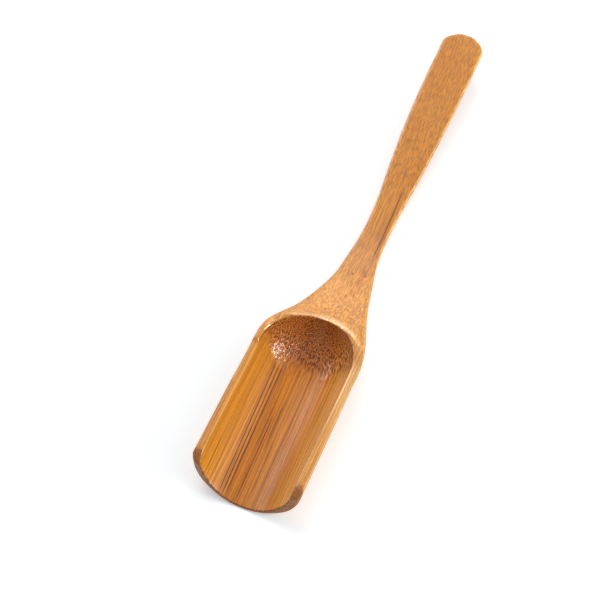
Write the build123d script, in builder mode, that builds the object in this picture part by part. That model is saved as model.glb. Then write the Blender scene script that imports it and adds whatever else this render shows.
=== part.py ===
"""Bamboo tea-leaf scoop: one carved piece with a half-round bowl, a dipped neck and a rising handle."""

import os
from math import atan, cos, radians, sin, sqrt, tan

from build123d import *

os.makedirs("parts", exist_ok=True)

# Overall sizes in millimetres; stations along the scoop are measured back from the tip
length = 195.0
bowl_width = 37.0
bowl_back_width = 35.6
rim_height = 16.0

# Plan of the body
shoulder_station = 53.8
shoulder_radius = 18.3
waist_station = 112.4
waist_width = 9.0
handle_width = 15.3
full_handle_station = 179.5
flank_radius = 176.0

# Side view of the body
crown_rise = 3.5
crown_station = 50.0
crown_radius = 26.0
waist_depth = 5.0
sweep_station = 136.0
handle_rise_angle = 8.3
handle_depth = 5.0
sole_cut = 0.3

# Cross-section of the body, as shares of its half width and of its depth
bowl_land_share = 0.20
handle_land_share = 0.52
bowl_crown_share = 0.62
handle_crown_share = 0.86
widest_share = 0.80

# Hollow of the bowl
hollow_width = 30.8
hollow_length = 66.0
lip_thickness = 0.9
floor_fall_angle = 1.2

# Bevel under the lip, at half a right angle
lip_edge = 0.4
lip_bevel = 8.0

# Ends of the scoop
tip_bow = 3.8
tip_corner_radius = 3.0
nose_back = 8.4
nose_radius = 7.2
handle_end_bow = 5.5

# Even sections that guide the body, and the extra reach of the shapes past its ends
section_count = 30
reach = 20.0
side_margin = 0.4

# Factor that makes a cubic curve follow a quarter ellipse
quarter = 4 * (sqrt(2) - 1) / 3


def two_arcs(station, start, start_value, end, end_value, first_radius):
    """Value on two tangent arcs that leave the start level and arrive at the end level."""
    run = end - start
    change = end_value - start_value
    turn = 2 * atan(abs(change) / run)
    second_radius = run / sin(turn) - first_radius
    side = 1 if change > 0 else -1
    if station <= start:
        return start_value
    if station >= end:
        return end_value
    if station <= start + first_radius * sin(turn):
        return start_value + side * (first_radius - sqrt(first_radius**2 - (station - start) ** 2))
    return end_value - side * (second_radius - sqrt(second_radius**2 - (end - station) ** 2))


def half_width(station):
    """Half width of the body in plan."""
    if station <= shoulder_station:
        return (bowl_width - (bowl_width - bowl_back_width) * station / shoulder_station) / 2
    if station <= waist_station:
        return two_arcs(
            station, shoulder_station, bowl_back_width / 2, waist_station, waist_width / 2, shoulder_radius
        )
    return two_arcs(
        station, waist_station, waist_width / 2, full_handle_station, handle_width / 2, flank_radius
    )


def handle_rise(station):
    """Lift of the handle behind the waist: an arc out of the level, then a straight slope."""
    if station <= waist_station:
        return 0.0
    slope = radians(handle_rise_angle)
    sweep_radius = (sweep_station - waist_station) / sin(slope)
    if station <= sweep_station:
        return sweep_radius - sqrt(sweep_radius**2 - (station - waist_station) ** 2)
    return sweep_radius * (1 - cos(slope)) + (station - sweep_station) * tan(slope)


def top_height(station):
    """Height of the body's upper surface on its centre line, before the rim is cut level."""
    crown_height = rim_height + crown_rise
    if station <= waist_station:
        return two_arcs(station, crown_station, crown_height, waist_station, waist_depth, crown_radius)
    return waist_depth + handle_rise(station)


def bottom_height(station):
    """Height of the body's underside on its centre line, before the sole is cut level."""
    if station <= waist_station:
        return -sole_cut
    thinning = (waist_depth - handle_depth) * (station - waist_station) / (length - waist_station)
    return handle_rise(station) + thinning - sole_cut


def body_section(station):
    """Sketch of the rounded cross-section of the body at one station."""
    wide = half_width(station)
    low = bottom_height(station)
    high = top_height(station)
    share = (bowl_width / 2 - wide) / (bowl_width / 2 - waist_width / 2)
    land = wide * (bowl_land_share + (handle_land_share - bowl_land_share) * share)
    crown = wide * (bowl_crown_share + (handle_crown_share - bowl_crown_share) * share)
    middle = low + (high - low) * widest_share
    plane = Plane(origin=(station - length / 2, 0, 0), x_dir=(0, 1, 0), z_dir=(1, 0, 0))
    with BuildSketch(plane) as section:
        with BuildLine():
            Line((-land, low), (land, low))
            Bezier(
                (land, low),
                (land + quarter * (wide - land), low),
                (wide, middle - quarter * (middle - low)),
                (wide, middle),
            )
            Bezier(
                (wide, middle),
                (wide, middle + quarter * (high - middle)),
                (crown + quarter * (wide - crown), high),
                (crown, high),
            )
            Line((crown, high), (-crown, high))
            Bezier(
                (-crown, high),
                (-crown - quarter * (wide - crown), high),
                (-wide, middle + quarter * (high - middle)),
                (-wide, middle),
            )
            Bezier(
                (-wide, middle),
                (-wide, middle - quarter * (middle - low)),
                (-land - quarter * (wide - land), low),
                (-land, low),
            )
        make_face()
    return section.sketch


tip = -length / 2
section_step = (length + reach) / section_count
stations = [section_step * index - reach / 2 for index in range(section_count + 1)]
trough_length = hollow_length - hollow_width / 2
floor_height = lip_thickness + trough_length * tan(radians(floor_fall_angle))
fall = Plane.XY.rotated((0, -floor_fall_angle, 0))
ball_centre = Vector(tip + trough_length, 0, floor_height + hollow_width / 2)

with BuildPart() as scoop:
    # Body through its rounded sections
    loft([body_section(station).face() for station in stations])

    # Level rim and level sole
    with BuildSketch(Plane.XY.offset(rim_height)):
        Rectangle(2 * length, 2 * bowl_width)
    extrude(amount=reach, mode=Mode.SUBTRACT)
    with BuildSketch(Plane.XY):
        Rectangle(2 * length, 2 * bowl_width)
    extrude(amount=-reach, mode=Mode.SUBTRACT)

    # Bowed tip in plan with rounded corners
    with BuildSketch(Plane.XY):
        with Locations((tip, 0)):
            Rectangle(2 * reach, 2 * bowl_width)
        with BuildSketch(mode=Mode.SUBTRACT) as tip_plan:
            with BuildLine():
                front = ThreePointArc(
                    (tip + tip_bow, -bowl_width / 2), (tip, 0), (tip + tip_bow, bowl_width / 2)
                )
                Polyline(
                    front @ 1,
                    (tip + 2 * reach, bowl_width / 2),
                    (tip + 2 * reach, -bowl_width / 2),
                    front @ 0,
                )
            make_face()
            fillet(tip_plan.vertices().sort_by(Axis.X)[:2], tip_corner_radius)
    extrude(amount=rim_height + reach, both=True, mode=Mode.SUBTRACT)

    # Nose of the rim, rounded in the side view
    with BuildSketch(Plane.XZ):
        with BuildLine():
            nose_foot = (tip + nose_back - nose_radius, rim_height - nose_radius)
            nose_top = (tip + nose_back, rim_height)
            RadiusArc(nose_foot, nose_top, nose_radius)
            Polyline(
                nose_top,
                (tip + nose_back, rim_height + reach),
                (tip - reach, rim_height + reach),
                (tip - reach, rim_height - nose_radius),
                nose_foot,
            )
        make_face()
    extrude(amount=bowl_width, both=True, mode=Mode.SUBTRACT)

    # Rounded end of the handle
    with BuildSketch(Plane.XY):
        with BuildLine():
            end_x = length / 2 - handle_end_bow
            end_reach = handle_width / 2 + side_margin
            end_arc = ThreePointArc((end_x, end_reach), (length / 2, 0), (end_x, -end_reach))
            Polyline(
                end_arc @ 1,
                (end_x, -bowl_width),
                (length / 2 + reach, -bowl_width),
                (length / 2 + reach, bowl_width),
                (end_x, bowl_width),
                end_arc @ 0,
            )
        make_face()
    extrude(amount=rim_height + reach, both=True, mode=Mode.SUBTRACT)

    # Round trough of the hollow, open at the tip and falling a little towards the lip
    with BuildSketch(Plane(origin=ball_centre, x_dir=fall.y_dir, z_dir=-fall.x_dir)):
        Circle(hollow_width / 2)
    extrude(amount=hollow_length, mode=Mode.SUBTRACT)

    # Ball-shaped back wall of the hollow
    with Locations(ball_centre):
        Sphere(hollow_width / 2, mode=Mode.SUBTRACT)

    # Bevel under the lip, turned around the axis of the hollow
    with BuildSketch(Plane.XZ):
        with BuildLine():
            edge_height = lip_thickness - lip_edge
            Polyline(
                (tip - lip_bevel, edge_height + lip_bevel),
                (tip + lip_bevel, edge_height - lip_bevel),
                (tip - lip_bevel, edge_height - lip_bevel),
                close=True,
            )
        make_face()
    revolve(axis=Axis(ball_centre, fall.x_dir), mode=Mode.SUBTRACT)
scoop.part.label = "scoop"

export_step(scoop.part, "parts/scoop.step")
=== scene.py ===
"""Carved bamboo tea scoop, dressed and lit on a pale studio floor."""

import logging
import math
from dataclasses import dataclass
from enum import Enum
from typing import Any, Mapping, Optional, Tuple, Union

import bpy
from mathutils import Matrix, Vector


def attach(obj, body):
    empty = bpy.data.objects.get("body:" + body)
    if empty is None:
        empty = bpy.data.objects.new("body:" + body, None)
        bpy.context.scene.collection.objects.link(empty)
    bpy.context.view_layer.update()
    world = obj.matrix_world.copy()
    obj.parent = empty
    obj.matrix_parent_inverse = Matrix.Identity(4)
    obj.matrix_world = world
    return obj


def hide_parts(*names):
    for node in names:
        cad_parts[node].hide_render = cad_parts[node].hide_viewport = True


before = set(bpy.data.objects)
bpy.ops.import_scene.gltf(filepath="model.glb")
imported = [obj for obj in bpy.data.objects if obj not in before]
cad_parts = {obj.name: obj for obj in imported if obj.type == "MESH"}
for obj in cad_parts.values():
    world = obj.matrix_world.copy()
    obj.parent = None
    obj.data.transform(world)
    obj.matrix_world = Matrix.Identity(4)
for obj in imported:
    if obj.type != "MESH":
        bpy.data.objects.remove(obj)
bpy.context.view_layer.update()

LOG = logging.getLogger("tea_scoop")

Colour = Tuple[float, float, float]
Point = Tuple[float, float, float]
MILLIMETRE = 0.001
NOISE_MIDDLE = 0.5
WHITE: Colour = (1.0, 1.0, 1.0)


def srgb(red: int, green: int, blue: int) -> Colour:
    """Turn a colour written in screen values into linear light, as the sRGB standard says.

    Args:
        red: Red from 0 to 255.
        green: Green from 0 to 255.
        blue: Blue from 0 to 255.

    Returns:
        The same colour as linear values from 0 to 1.
    """
    def channel(value: int) -> float:
        """Linear value of one screen channel."""
        share = value / 255.0
        return share / 12.92 if share <= 0.04045 else ((share + 0.055) / 1.055) ** 2.4

    return channel(red), channel(green), channel(blue)


class Blend(Enum):
    """Ways in which two colours meet."""

    MIX = "MIX"
    MULTIPLY = "MULTIPLY"


@dataclass(frozen=True)
class Ramp:
    """A soft step of a measure: nothing at one bound and the whole share at the other."""

    none_at: float
    full_at: float
    share: float = 1.0


class Wire:
    """A shader value that can be used in Python expressions."""

    def __init__(self, graph: "Graph", socket: bpy.types.NodeSocket) -> None:
        """Keep the graph and the output socket of the value."""
        self.graph = graph
        self.socket = socket

    def _maths(self, operation: str, first: "Number", second: "Number") -> "Wire":
        """Add one Math node for two values and return its result."""
        return self.graph.node(
            "ShaderNodeMath", {"operation": operation}, {0: first, 1: second}
        )["Value"]

    def __add__(self, other: "Number") -> "Wire":
        """Sum of two values."""
        return self._maths("ADD", self, other)

    def __radd__(self, other: "Number") -> "Wire":
        """Sum with the value on the right."""
        return self._maths("ADD", other, self)

    def __sub__(self, other: "Number") -> "Wire":
        """Difference of two values."""
        return self._maths("SUBTRACT", self, other)

    def __rsub__(self, other: "Number") -> "Wire":
        """Difference with the value on the right."""
        return self._maths("SUBTRACT", other, self)

    def __mul__(self, other: "Number") -> "Wire":
        """Product of two values."""
        return self._maths("MULTIPLY", self, other)

    def __rmul__(self, other: "Number") -> "Wire":
        """Product with the value on the right."""
        return self._maths("MULTIPLY", other, self)

    def __truediv__(self, other: "Number") -> "Wire":
        """Quotient of two values."""
        return self._maths("DIVIDE", self, other)

    def __rtruediv__(self, other: "Number") -> "Wire":
        """Quotient with the value on the right."""
        return self._maths("DIVIDE", other, self)

    def __abs__(self) -> "Wire":
        """The value without its sign."""
        return self._maths("ABSOLUTE", self, 0.0)

    def least(self, other: "Number") -> "Wire":
        """The smaller of two values."""
        return self._maths("MINIMUM", self, other)

    def most(self, other: "Number") -> "Wire":
        """The larger of two values."""
        return self._maths("MAXIMUM", self, other)


Number = Union[float, Wire]
Tint = Union[Colour, Wire]


class Outputs:
    """The outputs of one node, read by name or by place."""

    def __init__(self, graph: "Graph", node: bpy.types.Node) -> None:
        """Keep the graph and the node."""
        self.graph = graph
        self.node = node

    def __getitem__(self, key: Union[str, int]) -> Wire:
        """Wire of one output."""
        return Wire(self.graph, self.node.outputs[key])


class Graph:
    """A node tree that is written as expressions."""

    def __init__(self, tree: bpy.types.NodeTree) -> None:
        """Empty the tree and keep it."""
        self.tree = tree
        tree.nodes.clear()

    def node(
        self,
        kind: str,
        settings: Optional[Mapping[str, Any]] = None,
        values: Optional[Mapping[Union[str, int], Any]] = None,
    ) -> Outputs:
        """Add a node of any kind.

        Args:
            kind: Blender's name of the node type.
            settings: Properties of the node, which are set first.
            values: Numbers, colours or wires for the input sockets.

        Returns:
            The outputs of the new node.
        """
        made = self.tree.nodes.new(kind)
        for name, value in (settings or {}).items():
            setattr(made, name, value)
        for key, value in (values or {}).items():
            socket = made.inputs[key]
            if isinstance(value, Wire):
                self.tree.links.new(value.socket, socket)
            elif isinstance(value, tuple) and socket.type == "RGBA":
                socket.default_value = (*value, 1.0)
            else:
                socket.default_value = value
        return Outputs(self, made)

    def vector(self, x: Number, y: Number, z: Number) -> Wire:
        """Vector of three values."""
        return self.node("ShaderNodeCombineXYZ", {}, {0: x, 1: y, 2: z})["Vector"]

    def split(self, vector: Wire) -> Tuple[Wire, Wire, Wire]:
        """Three values of a vector."""
        parts = self.node("ShaderNodeSeparateXYZ", {}, {0: vector})
        return parts["X"], parts["Y"], parts["Z"]

    def length(self, vector: Wire) -> Wire:
        """Length of a vector."""
        return self.node("ShaderNodeVectorMath", {"operation": "LENGTH"}, {0: vector})["Value"]

    def seen(self) -> Wire:
        """Share 1 where the camera looks, straight on, in a reflection or through glass."""
        path = self.node("ShaderNodeLightPath")
        return path["Is Camera Ray"].most(path["Is Glossy Ray"]).most(path["Is Transmission Ray"])

    def step(self, value: Number, ramp: Ramp) -> Wire:
        """Read a soft step.

        Args:
            value: The measure.
            ramp: Bounds and share of the step, rising or falling.

        Returns:
            The share that the measure reaches.
        """
        rising = ramp.none_at < ramp.full_at
        return self.node(
            "ShaderNodeMapRange",
            {"interpolation_type": "SMOOTHSTEP"},
            {
                "Value": value,
                "From Min": min(ramp.none_at, ramp.full_at),
                "From Max": max(ramp.none_at, ramp.full_at),
                "To Min": 0.0 if rising else ramp.share,
                "To Max": ramp.share if rising else 0.0,
            },
        )["Result"]

    def blend(self, share: Number, first: Tint, second: Tint, kind: Blend = Blend.MIX) -> Wire:
        """Mix two colours.

        Args:
            share: Share of the second colour.
            first: Colour at share 0.
            second: Colour at share 1.
            kind: How the colours meet.

        Returns:
            The mixed colour.
        """
        mixer = self.node(
            "ShaderNodeMix",
            {"data_type": "RGBA", "blend_type": kind.value},
            {0: share, 6: first, 7: second},
        )
        return mixer[2]


@dataclass(frozen=True)
class Noise:
    """A noise pattern, in turns per unit of each of its three measures."""

    along: float
    across: float
    up: float
    detail: float = 1.0

    def read(self, graph: Graph, along: Number, across: Number, up: Number) -> Outputs:
        """Read the noise at a place.

        Args:
            graph: Graph that the nodes go to.
            along: First measure of the place.
            across: Second measure.
            up: Third measure.

        Returns:
            The outputs of the noise node.
        """
        place = graph.vector(along * self.along, across * self.across, up * self.up)
        return graph.node(
            "ShaderNodeTexNoise",
            {"noise_dimensions": "3D"},
            {"Vector": place, "Scale": 1.0, "Detail": self.detail},
        )


@dataclass(frozen=True)
class Place:
    """Where a point of the scoop lies, in millimetres, and how its surface is turned.

    Attributes:
        along: From the middle of the scoop towards the end of the handle.
        side: From the middle to the left.
        height: Above the table.
        across: Across the fibres, with their lean and their wander.
        up: Height as the fibres follow it.
        flat: Across the fibres, with their lean and hardly any wander.
        even: As flat, but without the lean on the walls of the bowl.
        level: Height above the floor of the bowl, which falls towards the lip.
        facing: Share of the surface's normal along the scoop.
        sideways: Share of the surface's normal to the left.
    """

    along: Wire
    side: Wire
    height: Wire
    across: Wire
    up: Wire
    flat: Wire
    even: Wire
    level: Wire
    facing: Wire
    sideways: Wire


@dataclass(frozen=True)
class Zones:
    """How far a point belongs to each zone of the scoop.

    Attributes:
        depth: Distance from the surface of the hollow into the wood, in millimetres.
        hollow: Surface of the hollow.
        back: Stretch of the back wall.
        rim: Rim around the hollow.
        cut: Faces that are cut across the fibres.
        far: Half of the bowl towards the neck.
    """

    depth: Wire
    hollow: Wire
    back: Wire
    rim: Wire
    cut: Wire
    far: Wire


@dataclass(frozen=True)
class Hollow:
    """Round hollow of the bowl, in millimetres: a trough that ends in a ball."""

    radius: float = 15.4
    ball_along: float = -46.9
    ball_height: float = 17.35
    fall: float = 0.021

    def depth(self, graph: Graph, place: Place) -> Wire:
        """Measure how far a place lies outside the surface of the hollow.

        Args:
            graph: Graph that the nodes go to.
            place: Where the point lies.

        Returns:
            The distance, 0 on the surface of the hollow and larger in the wood.
        """
        past = place.along - self.ball_along
        axis = past.least(0.0) * self.fall + self.ball_height
        reach = graph.length(graph.vector(past.most(0.0), place.side, place.height - axis))
        return reach - self.radius

    def above_floor(self, along: Wire, height: Wire) -> Wire:
        """Height that follows the fall of the bowl's floor."""
        return height - (along - self.ball_along).least(0.0) * self.fall


@dataclass(frozen=True)
class FibrePath:
    """How the fibres run through the scoop, in millimetres: leaning, wandering and sinking."""

    lean: float = 0.032
    upright_at: float = -70.0
    climb: float = 0.015
    neck_fall: float = 0.18
    neck_begin: float = -32.0
    neck_length: float = 32.0
    wander: float = 1.20
    calm: float = 0.90
    drift: Noise = Noise(0.02, 0.06, 0.06)
    bowl_wall: Ramp = Ramp(6.0, 12.0)

    def locate(self, graph: Graph, hollow: Hollow) -> Place:
        """Find where a point lies among the fibres.

        Args:
            graph: Graph that the nodes go to.
            hollow: Hollow of the bowl.

        Returns:
            The place of the point.
        """
        coords = graph.node("ShaderNodeTexCoord")
        scaled = graph.node(
            "ShaderNodeVectorMath",
            {"operation": "SCALE"},
            {0: coords["Object"], "Scale": 1 / MILLIMETRE},
        )["Vector"]
        along, side, height = graph.split(scaled)
        facing, sideways, _ = graph.split(coords["Normal"])
        drift = self.drift.read(graph, along, side, height)
        drift_side, drift_up, _ = graph.split(drift["Color"])
        swing = (drift_side - NOISE_MIDDLE) * self.wander
        leaning = (along - self.upright_at) * self.lean
        sink = (along - self.neck_begin).most(0.0).least(self.neck_length) * self.neck_fall
        rise = along.most(0.0) * self.climb
        across = side - leaning + swing
        flat = across - swing * self.calm
        return Place(
            along=along,
            side=side,
            height=height,
            across=across,
            up=height - rise + sink + (drift_up - NOISE_MIDDLE) * self.wander,
            flat=flat,
            even=flat + leaning * graph.step(abs(side), self.bowl_wall),
            level=hollow.above_floor(along, height),
            facing=facing,
            sideways=sideways,
        )


@dataclass(frozen=True)
class ZoneBounds:
    """Soft bounds of the scoop's zones, in millimetres; the cut goes by the surface's normal."""

    hollow: Ramp = Ramp(0.38, 0.02)
    back: Ramp = Ramp(-50.0, -44.0)
    rim_breadth: Ramp = Ramp(3.6, 0.6)
    rim_height: Ramp = Ramp(10.5, 13.5)
    cut: Ramp = Ramp(-0.03, -0.34)
    far: Ramp = Ramp(-75.0, -50.0)

    def read(self, graph: Graph, place: Place, depth: Wire) -> Zones:
        """Find the zones that a point belongs to.

        Args:
            graph: Graph that the nodes go to.
            place: Where the point lies.
            depth: Distance from the surface of the hollow into the wood.

        Returns:
            The zones of the point.
        """
        hollow = graph.step(depth, self.hollow)
        rim = graph.step(depth, self.rim_breadth) * graph.step(place.height, self.rim_height)
        return Zones(
            depth=depth,
            hollow=hollow,
            back=graph.step(place.along, self.back),
            rim=rim * (1 - hollow),
            cut=graph.step(place.facing, self.cut),
            far=graph.step(place.along, self.far),
        )


@dataclass(frozen=True)
class Palette:
    """Colours of the bamboo."""

    ground: Colour = srgb(220, 148, 50)
    warm_ground: Colour = srgb(206, 130, 18)
    hollow_ground: Colour = srgb(232, 156, 52)
    hollow_heart: Colour = srgb(203, 123, 12)
    # Pale colour painted where light catches the rim, the flanks, the right wall of the hollow and
    # the right of the cut faces: a painted highlight and sheen.
    painted_highlight: Colour = srgb(255, 202, 132)
    end_ground: Colour = srgb(214, 126, 58)
    tip_ground: Colour = srgb(150, 84, 36)
    bundle: Colour = srgb(152, 80, 0)
    dark_bundle: Colour = srgb(78, 30, 4)
    streak: Colour = srgb(108, 42, 0)


@dataclass(frozen=True)
class BundlePattern:
    """Fibre bundles, as dots in the plane across the scoop that come and go along it."""

    spacing: float
    cut_swell: float
    edge: Ramp = Ramp(0.20, 0.10)
    growth: float = 0.10
    scatter: float = 0.65
    offset: Tuple[float, float] = (7.3, 3.1)
    life: Noise = Noise(0.05, 40.0, 17.0)
    least: float = 0.35
    lively: Ramp = Ramp(0.32, 0.58, 0.65)

    def dots(self, graph: Graph, place: Place, zones: Zones) -> Wire:
        """Show the bundles, wider where they are cut across.

        Args:
            graph: Graph that the nodes go to.
            place: Where the point lies.
            zones: Zones of the point.

        Returns:
            The dots, from 0 to 1.
        """
        column = place.across / self.spacing + self.offset[0]
        row = place.up / self.spacing + self.offset[1]
        cells = graph.node(
            "ShaderNodeTexVoronoi",
            {"voronoi_dimensions": "2D", "feature": "F1"},
            {"Vector": graph.vector(column, row, 0.0), "Scale": 1.0, "Randomness": self.scatter},
        )
        own, _, _ = graph.split(cells["Color"])
        reach = cells["Distance"] - own * self.growth - zones.cut * self.cut_swell
        life = self.life.read(graph, place.along, own, own)["Fac"]
        return graph.step(reach, self.edge) * (self.least + graph.step(life, self.lively))


@dataclass(frozen=True)
class FineFibres:
    """Fine dark fibres of uneven strength, side by side along the bowl, in millimetres."""

    spacing: float = 1.15
    offset: float = 40.0
    edge: Ramp = Ramp(0.26, 0.08)
    uneven: Ramp = Ramp(0.15, 0.95)
    life: Noise = Noise(0.03, 60.0, 23.0)
    lively: Ramp = Ramp(0.32, 0.50)
    least: float = 0.26
    middle: Ramp = Ramp(12.0, 6.0, 0.34)

    def mask(self, graph: Graph, place: Place) -> Wire:
        """Show the fibres, stronger from the middle of the bowl to the right.

        Args:
            graph: Graph that the nodes go to.
            place: Where the point lies.

        Returns:
            Strength of the fibres.
        """
        cells = graph.node(
            "ShaderNodeTexVoronoi",
            {"voronoi_dimensions": "1D", "feature": "F1"},
            {"W": place.flat / self.spacing + self.offset, "Scale": 1.0, "Randomness": 1.0},
        )
        own, other, _ = graph.split(cells["Color"])
        line = graph.step(cells["Distance"] * self.spacing, self.edge)
        life = self.life.read(graph, place.along, other, own)["Fac"]
        line = line * graph.step(own, self.uneven) * graph.step(life, self.lively)
        return line * (self.least + graph.step(place.flat, self.middle))


@dataclass(frozen=True)
class Streak:
    """One dark line along the fibres of the bowl or the neck, in millimetres."""

    across: float
    breadth: float
    strength: float
    begin: float = -99.0
    end: float = -44.0
    fade: float = 6.0
    outer: float = 1.5
    inner: float = 0.3

    def mask(self, graph: Graph, place: Place) -> Wire:
        """Show the line, fading at both ends.

        Args:
            graph: Graph that the nodes go to.
            place: Where the point lies.

        Returns:
            Strength of the line.
        """
        edge = Ramp(self.breadth * self.outer, self.breadth * self.inner, self.strength)
        line = graph.step(abs(place.flat - self.across), edge)
        line = line * graph.step(place.along, Ramp(self.begin, self.begin + self.fade))
        return line * graph.step(place.along, Ramp(self.end, self.end - self.fade))


@dataclass(frozen=True)
class Speck:
    """One small dark speck on the neck, in millimetres."""

    along: float
    side: float
    radius: float
    squash: float = 0.7
    core: float = 0.4
    strength: float = 0.8

    def mask(self, graph: Graph, place: Place) -> Wire:
        """Show the speck, a little longer than wide.

        Args:
            graph: Graph that the nodes go to.
            place: Where the point lies.

        Returns:
            Strength of the speck.
        """
        along = (place.along - self.along) * self.squash
        off = graph.length(graph.vector(along, place.side - self.side, 0.0))
        return graph.step(off, Ramp(self.radius, self.radius * self.core, self.strength))


@dataclass(frozen=True)
class DarkMarks:
    """Dark lines along the bowl and the neck, fine fibres, and specks."""

    bowl_streaks: Tuple[Streak, ...] = (
        Streak(9.15, 0.18, 1.00),
        Streak(8.10, 0.20, 1.00),
        Streak(7.05, 0.20, 1.00),
        Streak(6.00, 0.11, 0.46, -75.0, -46.0),
        Streak(3.55, 0.19, 1.00, -99.0, -62.0),
        Streak(1.95, 0.29, 0.72, -78.0, -56.0),
        Streak(-0.10, 0.14, 0.79, -99.0, -72.0),
        Streak(-1.10, 0.13, 0.46, -68.0, -50.0),
        Streak(-3.40, 0.13, 0.46, -90.0, -66.0),
        Streak(-4.40, 0.13, 0.46, -66.0, -48.0),
        Streak(-6.00, 0.11, 0.39, -88.0, -64.0),
        Streak(14.2, 0.11, 0.60, -96.0, -78.0),
    )
    neck_streaks: Tuple[Streak, ...] = (
        Streak(-5.90, 0.26, 1.00, -1.0, 34.0),
        Streak(-4.30, 0.10, 0.60, 8.0, 44.0),
        Streak(-2.60, 0.10, 0.53, -4.0, 24.0),
        Streak(-1.10, 0.10, 0.46, 2.0, 30.0),
        Streak(-6.30, 0.10, 0.66, -8.0, 6.0),
    )
    specks: Tuple[Speck, ...] = (Speck(-6.8, -0.1, 0.65), Speck(-6.0, -4.2, 0.60))
    fibres: FineFibres = FineFibres()
    wear: Noise = Noise(0.06, 0.9, 1.0, 2.0)
    wear_layer: float = 5.0
    worn: Ramp = Ramp(0.20, 0.50)

    def mask(self, graph: Graph, place: Place, zones: Zones) -> Wire:
        """Show all the marks.

        Args:
            graph: Graph that the nodes go to.
            place: Where the point lies.
            zones: Zones of the point.

        Returns:
            Strength of the marks, from 0 to 1.
        """
        wear = self.wear.read(graph, place.along, place.across, self.wear_layer)["Fac"]
        worn = graph.step(wear, self.worn)
        bowl = sum(streak.mask(graph, place) for streak in self.bowl_streaks) * zones.hollow
        neck = sum(streak.mask(graph, place) for streak in self.neck_streaks) * (1 - zones.hollow)
        marks = (bowl + neck) * worn
        for speck in self.specks:
            marks = marks + speck.mask(graph, place)
        fibres = self.fibres.mask(graph, place) * zones.hollow * (1 - zones.cut)
        return marks.most(fibres).least(1.0)


@dataclass(frozen=True)
class RimFacet:
    """Level facet of the rim that ends in an edge at the neck on the right, with painted shade near
    that edge, in millimetres.
    """

    corner: Tuple[float, float] = (-34.1, -9.9)
    outward: Tuple[float, float] = (0.809, -0.588)
    inside: Ramp = Ramp(0.30, -0.10)
    begin: Ramp = Ramp(-48.0, -42.0)
    right: Ramp = Ramp(-7.0, -9.0)
    # Reach of the painted shade on the facet near its edge.
    painted_shade_ramp: Ramp = Ramp(-6.0, -0.4, 0.40)

    def read(self, graph: Graph, place: Place, zones: Zones) -> Tuple[Wire, Wire]:
        """Find the facet.

        Args:
            graph: Graph that the nodes go to.
            place: Where the point lies.
            zones: Zones of the point.

        Returns:
            The facet, and its part near the edge where shade is painted.
        """
        past_along = (place.along - self.corner[0]) * self.outward[0]
        past = past_along + (place.side - self.corner[1]) * self.outward[1]
        facet = graph.step(past, self.inside) * graph.step(place.along, self.begin)
        facet = facet * graph.step(place.side, self.right) * zones.rim
        return facet, facet * graph.step(past, self.painted_shade_ramp)


@dataclass(frozen=True)
class OuterGround:
    """Ground of the neck, the handle, the rim and the flanks, in millimetres."""

    bands: Noise = Noise(0.004, 0.25, 0.25, 2.0)
    warm_band: Ramp = Ramp(0.35, 0.65)
    warm_right: Ramp = Ramp(1.0, -6.0, 0.5)
    warm_handle: Ramp = Ramp(-18.0, 2.0, 0.7)
    # The arris and rim values set the painted highlight on the flanks and the rim.
    arris: Ramp = Ramp(0.35, 0.80)
    arris_least: float = 0.5
    arris_handle: Ramp = Ramp(-5.0, 15.0, 0.4)
    rim_least: float = 0.10
    rim_right: Ramp = Ramp(0.0, -10.0)
    rim_right_near: float = 0.12
    rim_right_far: float = 0.60
    back_rim: Ramp = Ramp(-50.0, -38.0)
    back_rim_side: Ramp = Ramp(7.0, -4.0)
    facet: RimFacet = RimFacet()
    facet_loss: float = 0.75
    # Reach of the painted shade across the waist.
    waist_begin: Ramp = Ramp(-12.0, 2.0)
    waist_end: Ramp = Ramp(30.0, 12.0, 0.22)

    def painted_highlight_share(self, graph: Graph, place: Place, zones: Zones, facet: Wire) -> Wire:
        """Find where the flanks and the rim are painted paler, a painted highlight where light
        catches the side-facing edges and the rim.

        Args:
            graph: Graph that the nodes go to.
            place: Where the point lies.
            zones: Zones of the point.
            facet: Facet of the rim that is less pale.

        Returns:
            Share of the painted highlight.
        """
        handle = self.arris_least + graph.step(place.along, self.arris_handle)
        # Side-facing flanks painted paler, more towards the handle: painted highlight.
        arris = graph.step(abs(place.sideways), self.arris) * handle
        right = graph.step(place.side, self.rim_right)
        right = right * (self.rim_right_near + zones.far * self.rim_right_far)
        back = graph.step(place.along, self.back_rim) * graph.step(place.side, self.back_rim_side)
        # Rim painted paler, more on the right towards the neck and on the back rim: painted
        # highlight.
        rim = zones.rim * (self.rim_least + right).most(back)
        return arris.most(rim * (1 - facet * self.facet_loss))

    def colour(self, graph: Graph, palette: Palette, place: Place, zones: Zones) -> Wire:
        """Colour the ground.

        Args:
            graph: Graph that the nodes go to.
            palette: Colours of the bamboo.
            place: Where the point lies.
            zones: Zones of the point.

        Returns:
            The colour.
        """
        bands = self.bands.read(graph, place.along, place.even, place.level)["Fac"]
        ground = graph.blend(
            graph.step(bands, self.warm_band), palette.ground, palette.warm_ground
        )
        warm = graph.step(place.side, self.warm_right)
        warm = warm.most(graph.step(place.along, self.warm_handle))
        ground = graph.blend(warm, ground, palette.warm_ground)
        facet, painted_shade = self.facet.read(graph, place, zones)
        pale = self.painted_highlight_share(graph, place, zones, facet)
        ground = graph.blend(pale, ground, palette.painted_highlight)
        # Painted shade on the rim facet near its edge at the neck.
        ground = graph.blend(painted_shade, ground, palette.bundle)
        # Painted shade across the waist, darker than the lit neck.
        waist_shade = graph.step(place.along, self.waist_begin)
        waist_shade = waist_shade * graph.step(place.along, self.waist_end)
        return graph.blend(waist_shade, ground, palette.bundle)


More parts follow.
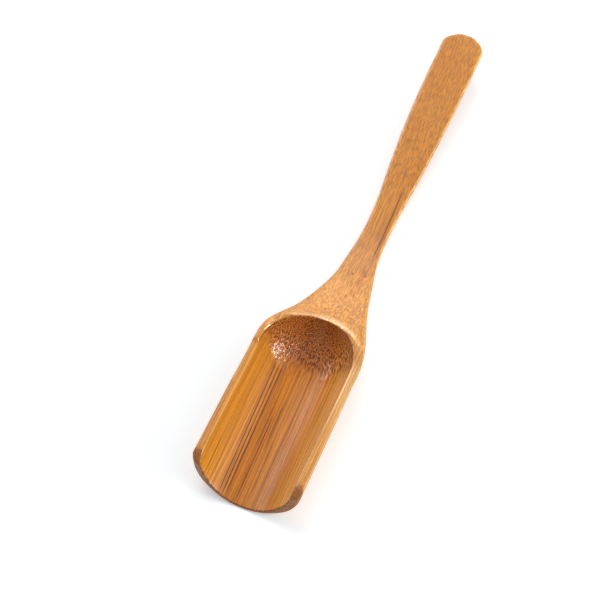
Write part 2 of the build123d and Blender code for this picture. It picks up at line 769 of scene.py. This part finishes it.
@dataclass(frozen=True)
class BowlGround:
    """Ground of the hollow, deeper along two hearts and painted paler on the right wall, a painted
    sheen, in millimetres.
    """

    heart_at: float = 4.0
    heart: Ramp = Ramp(12.5, 1.0)
    small_heart_at: float = -4.5
    small_heart: Ramp = Ramp(6.0, 2.0, 0.95)
    right_wall: Ramp = Ramp(-8.5, -14.5)
    pale_near: float = 0.58
    pale_far: float = 0.12

    def colour(self, graph: Graph, palette: Palette, place: Place, zones: Zones) -> Wire:
        """Colour the ground.

        Args:
            graph: Graph that the nodes go to.
            palette: Colours of the bamboo.
            place: Where the point lies.
            zones: Zones of the point.

        Returns:
            The colour.
        """
        heart = graph.step(abs(place.flat - self.heart_at), self.heart)
        small_heart = graph.step(abs(place.flat - self.small_heart_at), self.small_heart)
        ground = graph.blend(
            heart.most(small_heart), palette.hollow_ground, palette.hollow_heart
        )
        # Right wall painted paler and less saturated: painted sheen.
        pale = graph.step(place.side, self.right_wall)
        pale = pale * (self.pale_near + zones.far * self.pale_far)
        return graph.blend(pale, ground, palette.painted_highlight)


@dataclass(frozen=True)
class CutGround:
    """Ground of the faces that are cut across the fibres, in millimetres."""

    pale_right: Ramp = Ramp(-2.0, -13.0, 0.35)
    middle: Ramp = Ramp(11.0, 3.0, 0.42)
    tip: Ramp = Ramp(-88.0, -92.0)

    def colour(self, graph: Graph, palette: Palette, place: Place) -> Wire:
        """Colour the ground, painted lighter on the right and darker in the middle and at the tip.

        Args:
            graph: Graph that the nodes go to.
            palette: Colours of the bamboo.
            place: Where the point lies.

        Returns:
            The colour.
        """
        # Right part of the cut faces painted lighter: painted highlight.
        pale = graph.step(place.side, self.pale_right)
        ground = graph.blend(pale, palette.end_ground, palette.painted_highlight)
        dark = graph.step(abs(place.side), self.middle).most(graph.step(place.along, self.tip))
        return graph.blend(dark, ground, palette.tip_ground)


@dataclass(frozen=True)
class GrainShade:
    """Light and dark of the fine grain."""

    darkest: float = 0.58
    line: Ramp = Ramp(0.34, 0.66, 0.44)
    speckle: Noise = Noise(1.2, 3.0, 3.0)
    speckle_share: float = 0.46
    threads: Noise = Noise(0.006, 1.5, 1.5)
    thread: Ramp = Ramp(0.045, 0.005)
    thread_share: float = 0.16
    hollow_thread_share: float = 0.18

    def factor(self, graph: Graph, place: Place, zones: Zones, lines: Wire) -> Wire:
        """Shade the ground.

        Args:
            graph: Graph that the nodes go to.
            place: Where the point lies.
            zones: Zones of the point.
            lines: Noise of the fine fibre lines.

        Returns:
            Factor on the ground's colour.
        """
        speckle = self.speckle.read(graph, place.along, place.across, place.up)["Fac"]
        shade = self.darkest + graph.step(lines, self.line) + speckle * self.speckle_share
        threads = self.threads.read(graph, place.along, place.even, place.level)["Fac"]
        threads = graph.step(abs(threads - NOISE_MIDDLE), self.thread) * (1 - zones.cut)
        return shade * (1 - threads * (self.thread_share + zones.hollow * self.hollow_thread_share))


@dataclass(frozen=True)
class BundleTint:
    """How strongly the bundles show in each zone, in millimetres."""

    least: float = 0.70
    right: Ramp = Ramp(4.0, -3.0, 0.20)
    hollow_loss: float = 0.85
    rim_loss: float = 0.6
    handle_loss: Ramp = Ramp(45.0, 80.0, 0.5)
    cut_share: float = 0.90

    def share(self, graph: Graph, place: Place, zones: Zones) -> Wire:
        """Weigh the bundles.

        Args:
            graph: Graph that the nodes go to.
            place: Where the point lies.
            zones: Zones of the point.

        Returns:
            Share of the bundles' colour.
        """
        weight = self.least + graph.step(place.side, self.right)
        weight = weight * (1 - zones.hollow * self.hollow_loss) * (1 - zones.rim * self.rim_loss)
        weight = weight * (1 - graph.step(place.along, self.handle_loss))
        return weight + (self.cut_share - weight) * zones.cut


@dataclass(frozen=True)
class Varnish:
    """Clear varnish: satin outside, glossier in the hollow and most on its back wall."""

    satin: float = 0.46
    handle_gain: Ramp = Ramp(-6.0, 10.0, 0.11)
    hollow: float = 0.34
    hollow_reach: Ramp = Ramp(2.0, 0.8)
    back_gain: Ramp = Ramp(1.4, 0.6, 0.18)
    bundle_loss: float = 0.12
    refraction: float = 1.5
    reflection: float = 0.38

    def roughness(self, graph: Graph, place: Place, zones: Zones, dots: Wire) -> Wire:
        """Spread the gloss over the scoop.

        Args:
            graph: Graph that the nodes go to.
            place: Where the point lies.
            zones: Zones of the point.
            dots: Fibre bundles, which are duller.

        Returns:
            The roughness.
        """
        satin = self.satin - graph.step(place.along, self.handle_gain)
        rough = satin + graph.step(zones.depth, self.hollow_reach) * (self.hollow - satin)
        rough = rough - graph.step(zones.depth, self.back_gain) * zones.back
        return rough + dots * self.bundle_loss


@dataclass(frozen=True)
class Relief:
    """Shallow relief: lines, sunken bundles, pits and tilt of the back wall, and a worn edge."""

    depth: float = 0.06 * MILLIMETRE
    strength: float = 0.8
    line_height: float = 0.4
    bundle_depth: float = 1.0
    back_bundle_depth: float = 2.0
    pits: Noise = Noise(1.0, 1.0, 1.0)
    pit_height: float = 4.5
    tilt_height: float = 7.0
    tilt_along: float = -44.0
    tilt_up: float = 3.5
    tilt_back: float = 3.0
    tilt_side: Ramp = Ramp(1.0, 9.0)
    worn_begin: Ramp = Ramp(-49.0, -46.5)
    worn_end: Ramp = Ramp(-38.0, -41.0)
    worn_side: Ramp = Ramp(8.0, 12.0)
    worn_reach: float = 1.0
    worn_height: float = 20.0

    def normal(self, graph: Graph, place: Place, zones: Zones, lines: Wire, dots: Wire) -> Wire:
        """Turn the surface's normal by the relief.

        Args:
            graph: Graph that the nodes go to.
            place: Where the point lies.
            zones: Zones of the point.
            lines: Noise of the fine fibre lines.
            dots: Fibre bundles.

        Returns:
            The turned normal.
        """
        ball = zones.hollow * zones.back
        grain = lines * self.line_height
        grain = grain - dots * (self.bundle_depth + ball * self.back_bundle_depth)
        pits = self.pits.read(graph, place.along, place.across, place.up)["Fac"]
        tilt = (place.height - self.tilt_height) * self.tilt_up
        tilt = tilt - (place.along - self.tilt_along) * self.tilt_back
        tilt = tilt * ball * graph.step(place.side, self.tilt_side)
        worn = zones.depth.most(0.0).least(self.worn_reach) * self.worn_height
        worn = worn * graph.step(place.along, self.worn_begin)
        worn = worn * graph.step(place.along, self.worn_end)
        worn = worn * graph.step(place.side, self.worn_side)
        return graph.node(
            "ShaderNodeBump",
            {},
            {
                "Strength": self.strength,
                "Distance": self.depth,
                "Height": grain + pits * self.pit_height * ball - tilt + worn,
            },
        )["Normal"]


@dataclass(frozen=True)
class BambooFinish:
    """Caramel bamboo under a clear varnish, with its fibres along the scoop."""

    palette: Palette = Palette()
    hollow: Hollow = Hollow()
    path: FibrePath = FibrePath()
    bounds: ZoneBounds = ZoneBounds()
    outer: OuterGround = OuterGround()
    bowl: BowlGround = BowlGround()
    cut: CutGround = CutGround()
    cut_share: float = 0.75
    lines: Noise = Noise(0.012, 1.9, 1.9, 2.0)
    shade: GrainShade = GrainShade()
    fine_bundles: BundlePattern = BundlePattern(0.50, 0.04)
    bowl_bundles: BundlePattern = BundlePattern(0.64, 0.16)
    tint: BundleTint = BundleTint()
    marks: DarkMarks = DarkMarks()
    varnish: Varnish = Varnish()
    relief: Relief = Relief()

    def ground(self, graph: Graph, place: Place, zones: Zones, lines: Wire) -> Wire:
        """Colour the bamboo without its bundles and marks.

        Args:
            graph: Graph that the nodes go to.
            place: Where the point lies.
            zones: Zones of the point.
            lines: Noise of the fine fibre lines.

        Returns:
            The colour.
        """
        outer = self.outer.colour(graph, self.palette, place, zones)
        inner = self.bowl.colour(graph, self.palette, place, zones)
        ground = graph.blend(zones.hollow, outer, inner)
        shade = self.shade.factor(graph, place, zones, lines)
        ground = graph.blend(1.0, ground, graph.vector(shade, shade, shade), Blend.MULTIPLY)
        cut = self.cut.colour(graph, self.palette, place)
        return graph.blend(zones.cut * self.cut_share, ground, cut)

    def build(self, name: str) -> bpy.types.Material:
        """Make the material.

        Args:
            name: Name of the new material.

        Returns:
            The finished material.
        """
        material = bpy.data.materials.new(name)
        material.use_nodes = True
        graph = Graph(material.node_tree)
        place = self.path.locate(graph, self.hollow)
        zones = self.bounds.read(graph, place, self.hollow.depth(graph, place))
        lines = self.lines.read(graph, place.along, place.even, place.level)["Fac"]
        fine = self.fine_bundles.dots(graph, place, zones)
        dots = fine + (self.bowl_bundles.dots(graph, place, zones) - fine) * zones.hollow

        ground = self.ground(graph, place, zones, lines)
        bundle = graph.blend(zones.cut, self.palette.bundle, self.palette.dark_bundle)
        colour = graph.blend(dots * self.tint.share(graph, place, zones), ground, bundle)
        colour = graph.blend(self.marks.mask(graph, place, zones), colour, self.palette.streak)
        shader = graph.node(
            "ShaderNodeBsdfPrincipled",
            {},
            {
                "Base Color": colour,
                "Roughness": self.varnish.roughness(graph, place, zones, dots),
                "IOR": self.varnish.refraction,
                "Specular IOR Level": self.varnish.reflection,
                "Normal": self.relief.normal(graph, place, zones, lines, dots),
            },
        )
        graph.node("ShaderNodeOutputMaterial", {}, {"Surface": shader["BSDF"]})
        return material


@dataclass(frozen=True)
class FloorFinish:
    """Pale matt floor that shows white to the camera and keeps the soft shadow, in metres."""

    colour: Colour = (0.87, 0.90, 0.92)
    lift: float = 0.345
    lift_colour: Colour = (0.95, 1.00, 1.05)
    far_colour: Colour = (2.45, 2.45, 2.45)
    far: Ramp = Ramp(0.30, 1.40)

    def build(self, name: str) -> bpy.types.Material:
        """Make the floor's material.

        Args:
            name: Name of the new material.

        Returns:
            The finished material.
        """
        material = bpy.data.materials.new(name)
        material.use_nodes = True
        graph = Graph(material.node_tree)
        matt = graph.node("ShaderNodeBsdfDiffuse", {}, {"Color": self.colour})
        reach = graph.length(graph.node("ShaderNodeTexCoord")["Object"])
        tint = graph.blend(graph.step(reach, self.far), self.lift_colour, self.far_colour)
        lift = graph.node(
            "ShaderNodeEmission", {}, {"Color": tint, "Strength": graph.seen() * self.lift}
        )
        both = graph.node("ShaderNodeAddShader", {}, {0: matt["BSDF"], 1: lift["Emission"]})
        graph.node("ShaderNodeOutputMaterial", {}, {"Surface": both["Shader"]})
        return material


@dataclass(frozen=True)
class Pull:
    """A gentle pull to the right on a stretch of the scoop, in millimetres."""

    begin: float
    end: float
    shift: float
    spread: float


@dataclass
class TeaScoop:
    """The scoop: one carved piece of bamboo with softened edges."""

    name: str = "tea_scoop"
    node: str = "scoop"
    slot: str = "bamboo"
    merge_distance: float = 1e-6
    grain_size: float = 0.40 * MILLIMETRE
    sanding_factor: float = 0.5
    sanding_rounds: int = 8
    pulls: Tuple[Pull, ...] = (
        Pull(-26.0, -12.0, 0.95, 16.0),
        Pull(0.0, 60.0, 0.30, 20.0),
        Pull(90.0, 99.0, 0.75, 35.0),
    )
    finish: BambooFinish = BambooFinish()

    def copy_solid(self) -> bpy.types.Object:
        """Copy the solid's mesh into a new object and merge its loose triangles.

        Returns:
            The new object, selected and active.
        """
        piece = bpy.data.objects.new(self.name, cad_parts[self.node].data.copy())
        bpy.context.scene.collection.objects.link(piece)
        bpy.ops.object.select_all(action="DESELECT")
        piece.select_set(True)
        bpy.context.view_layer.objects.active = piece
        bpy.ops.object.mode_set(mode="EDIT")
        bpy.ops.mesh.select_all(action="SELECT")
        bpy.ops.mesh.remove_doubles(threshold=self.merge_distance)
        bpy.ops.object.mode_set(mode="OBJECT")
        return piece

    def soften(self, piece: bpy.types.Object) -> None:
        """Round every edge a little, as sanding does.

        Args:
            piece: The merged copy of the solid.
        """
        even = piece.modifiers.new("even_mesh", "REMESH")
        even.mode = "VOXEL"
        even.voxel_size = self.grain_size
        even.use_smooth_shade = True
        bpy.ops.object.modifier_apply(modifier=even.name)
        sanding = piece.modifiers.new("sanding", "SMOOTH")
        sanding.factor = self.sanding_factor
        sanding.iterations = self.sanding_rounds
        bpy.ops.object.modifier_apply(modifier=sanding.name)
        bpy.ops.object.shade_smooth()

    def carve_off_line(self, piece: bpy.types.Object) -> None:
        """Pull the neck and the handle a little off the bowl's axis, as hand carving leaves them.

        Args:
            piece: The softened scoop.
        """
        for pull in self.pulls:
            bpy.ops.object.mode_set(mode="EDIT")
            bpy.ops.mesh.select_mode(type="VERT")
            bpy.ops.mesh.select_all(action="DESELECT")
            bpy.ops.object.mode_set(mode="OBJECT")
            for vertex in piece.data.vertices:
                vertex.select = pull.begin <= vertex.co.x / MILLIMETRE <= pull.end
            bpy.ops.object.mode_set(mode="EDIT")
            bpy.ops.transform.translate(
                value=(0.0, -pull.shift * MILLIMETRE, 0.0),
                use_proportional_edit=True,
                proportional_edit_falloff="SMOOTH",
                proportional_size=pull.spread * MILLIMETRE,
            )
            bpy.ops.object.mode_set(mode="OBJECT")

    def dress(self, piece: bpy.types.Object) -> None:
        """Give the piece its finish and its place in the frame.

        Args:
            piece: The softened scoop.
        """
        piece.data.materials.clear()
        piece.data.materials.append(self.finish.build("caramel_bamboo"))
        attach(piece, "root")
        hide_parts(self.node)

    def build(self) -> bpy.types.Object:
        """Model and dress the scoop.

        Returns:
            The finished piece.
        """
        piece = self.copy_solid()
        self.soften(piece)
        self.carve_off_line(piece)
        self.dress(piece)
        return piece


class Role(Enum):
    """What a lamp is for: light without a reflection, or a reflection alone."""

    FILL = "fill"
    SHEEN = "sheen"


@dataclass(frozen=True)
class SoftBox:
    """A soft lamp that looks at the scoop, in metres and watts."""

    name: str
    place: Point
    width: float
    height: float
    power: float
    role: Role

    def build(self, target: Point) -> bpy.types.Object:
        """Hang the lamp and turn it to the target.

        Args:
            target: Point that the lamp looks at.

        Returns:
            The lamp.
        """
        bpy.ops.object.light_add(type="AREA", location=self.place)
        lamp = bpy.context.object
        lamp.name = self.name
        look = Vector(target) - Vector(self.place)
        lamp.rotation_euler = look.to_track_quat("-Z", "Y").to_euler()
        lamp.data.shape = "RECTANGLE"
        lamp.data.size = self.width
        lamp.data.size_y = self.height
        lamp.data.energy = self.power
        lamp.visible_diffuse = self.role is Role.FILL
        lamp.visible_glossy = self.role is Role.SHEEN
        LOG.info("%s: %.2f W", self.name, self.power)
        return lamp


@dataclass
class Studio:
    """Pale floor, soft light and the camera of the photograph's view, in metres and degrees."""

    floor_side: float = 6.0
    floor_finish: FloorFinish = FloorFinish()
    target: Point = (-0.018837, 0.013705, 0.0)
    elevation: float = 56.901
    azimuth: float = 23.048
    distance: float = 0.700
    focal_pixels: float = 2112.0
    image_pixels: float = 600.0
    sensor: float = 36.0
    near_limit: float = 0.01
    sky: float = 0.30
    lamp_target: Point = (0.0, 0.0, 0.0)
    lamps: Tuple[SoftBox, ...] = (
        SoftBox("lamp_high_right", (0.10, -0.65, 1.00), 1.4, 1.4, 4.5, Role.FILL),
        SoftBox("fill_high_back", (0.40, 0.30, 0.95), 0.7, 0.7, 4.6, Role.FILL),
        SoftBox("fill_right", (0.10, -0.92, 0.50), 0.5, 0.5, 3.4, Role.FILL),
        SoftBox("sheen_left_back", (0.30, 0.83, 0.47), 1.0, 0.6, 12.0, Role.SHEEN),
        SoftBox("sheen_back", (0.87, 0.12, 0.47), 0.8, 0.6, 9.0, Role.SHEEN),
        SoftBox("sheen_right", (-0.08, -0.915, 0.47), 0.50, 0.30, 11.0, Role.SHEEN),
    )

    def build_floor(self) -> bpy.types.Object:
        """Lay the floor.

        Returns:
            The floor, marked as stage.
        """
        bpy.ops.object.select_all(action="DESELECT")
        bpy.ops.mesh.primitive_plane_add(size=self.floor_side, location=(0.0, 0.0, 0.0))
        floor = bpy.context.object
        floor.name = "floor"
        floor.data.materials.append(self.floor_finish.build("pale_floor"))
        LOG.info("floor laid")
        return floor

    def build_sky(self) -> None:
        """Light the scene evenly from all round, and show white behind the floor."""
        world = bpy.data.worlds.new("studio")
        bpy.context.scene.world = world
        world.use_nodes = True
        graph = Graph(world.node_tree)
        strength = self.sky + graph.seen() * (1.0 - self.sky)
        sky = graph.node("ShaderNodeBackground", {}, {"Color": WHITE, "Strength": strength})
        graph.node("ShaderNodeOutputWorld", {}, {"Surface": sky["Background"]})

    def build_camera(self) -> bpy.types.Object:
        """Set up the camera at the photograph's viewing angle.

        Returns:
            The scene's camera.
        """
        rise, turn = math.radians(self.elevation), math.radians(self.azimuth)
        level = -math.cos(rise)
        back = Vector((level * math.cos(turn), level * math.sin(turn), math.sin(rise)))
        right = (-back).cross(Vector((0.0, 0.0, 1.0))).normalized()
        up = right.cross(-back)
        turned = Matrix((right, up, back)).transposed().to_4x4()
        bpy.ops.object.camera_add()
        camera = bpy.context.object
        camera.name = "camera"
        stand = Vector(self.target) + back * self.distance
        camera.matrix_world = Matrix.Translation(stand) @ turned
        camera.data.sensor_width = self.sensor
        camera.data.lens = self.focal_pixels / self.image_pixels * self.sensor
        camera.data.clip_start = self.near_limit
        bpy.context.scene.camera = camera
        LOG.info("camera: %.1f mm lens", camera.data.lens)
        return camera

    def build(self) -> None:
        """Set up floor, sky, lamps and camera."""
        self.build_floor()
        self.build_sky()
        for lamp in self.lamps:
            lamp.build(self.lamp_target)
        self.build_camera()
        bpy.context.scene.view_settings.view_transform = "Standard"


def main() -> None:
    """Build the scene in order."""
    logging.basicConfig(level=logging.INFO, format="%(name)s %(message)s")
    Studio().build()
    scoop = TeaScoop().build()
    LOG.info("%s: %d faces", scoop.name, len(scoop.data.polygons))


if __name__ == "__main__":
    main()
